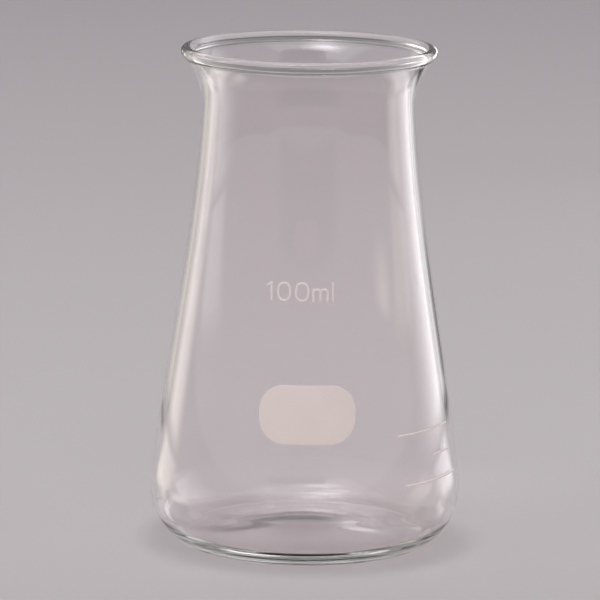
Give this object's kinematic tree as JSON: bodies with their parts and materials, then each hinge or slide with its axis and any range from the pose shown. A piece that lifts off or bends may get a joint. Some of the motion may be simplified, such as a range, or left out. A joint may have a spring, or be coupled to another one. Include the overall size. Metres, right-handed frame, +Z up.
{
  "type": "culture flask",
  "caption": "Clear glass conical culture flask with a wide flared and beaded mouth, short neck, gently curved cone, rounded heel and pushed-up base that stands on a flat ring.",
  "frame": {"origin": "the middle of the base ring, on the surface that the flask stands on", "axes": "+Z is up the flask's axis and out of the mouth; the flask is turned about +Z, so +X and +Y are any two level directions"},
  "size_m": [0.058, 0.058, 0.0933],
  "materials": {
    "glass": "clear fire-polished borosilicate glass"
  },
  "bodies": {
    "root": {"flask": "glass"}
  },
  "joints": []
}
